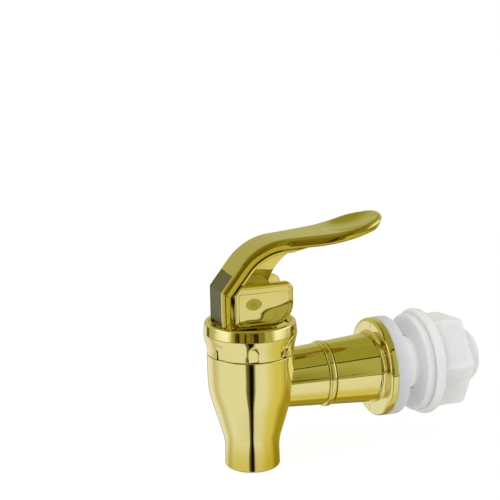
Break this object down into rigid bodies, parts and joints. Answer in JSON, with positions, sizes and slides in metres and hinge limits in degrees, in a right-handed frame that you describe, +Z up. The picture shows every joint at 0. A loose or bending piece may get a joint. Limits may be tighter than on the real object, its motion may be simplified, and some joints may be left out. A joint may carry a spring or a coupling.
{
  "type": "beverage dispenser spigot",
  "caption": "Push-lever drinks tap: upright flared outlet, screw cap with a swivelling cam lever and thumb rest, level inlet tube with wall flange, threaded shank, washers and hex nut.",
  "frame": {"origin": "centre of the outlet mouth, at the lowest point of the barrel", "axes": "+X along the threaded shank towards the inside of the vessel, +Z up the barrel to the lever, +Y to the left as seen from in front of the vessel"},
  "size_m": [0.0861, 0.0326, 0.0739],
  "materials": {
    "gold_plating": "moulded plastic with a bright yellow-gold plated skin",
    "natural_plastic": "natural translucent white polypropylene",
    "milky_silicone": "milky white silicone, satin",
    "clear_silicone": "translucent food-grade silicone",
    "white_plastic": "white acetal, satin",
    "stainless": "drawn stainless steel",
    "inlay_olive": "dark olive insert, smooth"
  },
  "bodies": {
    "valve_body": {"barrel": "gold_plating", "bonnet": "gold_plating", "inlet_sleeve": "gold_plating", "shank": "natural_plastic", "shank_seal": "clear_silicone", "front_washer": "milky_silicone", "seat_cup": "clear_silicone", "stem_spring": "stainless"},
    "lift_washer": {"spring_washer": "stainless"},
    "stem": {"stem": "white_plastic", "pivot_pin": "stainless"},
    "lever": {"lever_arm": "gold_plating", "lever_yoke": "gold_plating", "lever_inlay": "inlay_olive"},
    "rear_washer": {"rear_washer": "milky_silicone"},
    "mounting_nut": {"mounting_nut": "natural_plastic"}
  },
  "joints": [
    {"name": "stem_lift", "type": "slide", "parent": "valve_body", "child": "lift_washer", "axis": [0, 0, 1], "range_m": [0, 0.00192], "stiffness_N_per_m": 520, "springref_m": -0.0003, "deforming": ["stem_spring", "seat_cup"]},
    {"name": "lever_swivel", "type": "hinge", "parent": "lift_washer", "child": "stem", "pos_m": [0, 0, 0.0504], "axis": [0, 0, 1], "continuous": true},
    {"name": "lever_tilt", "type": "hinge", "parent": "stem", "child": "lever", "pos_m": [0, 0, 0.0504], "axis": [0, 1, 0], "range_deg": [-1, 26]},
    {"name": "nut_travel", "type": "slide", "parent": "valve_body", "child": "rear_washer", "axis": [1, 0, 0], "range_m": [-0.0041, 0.0061]},
    {"name": "nut_turn", "type": "hinge", "parent": "rear_washer", "child": "mounting_nut", "pos_m": [0.0534, 0, 0.0252], "axis": [1, 0, 0], "range_deg": [-720, 1080]}
  ],
  "couplings": [
    {"joint": "lever_tilt", "follows": "stem_lift", "rad_per_m": 227.27},
    {"joint": "nut_travel", "follows": "nut_turn", "m_per_rad": 0.00031831}
  ]
}
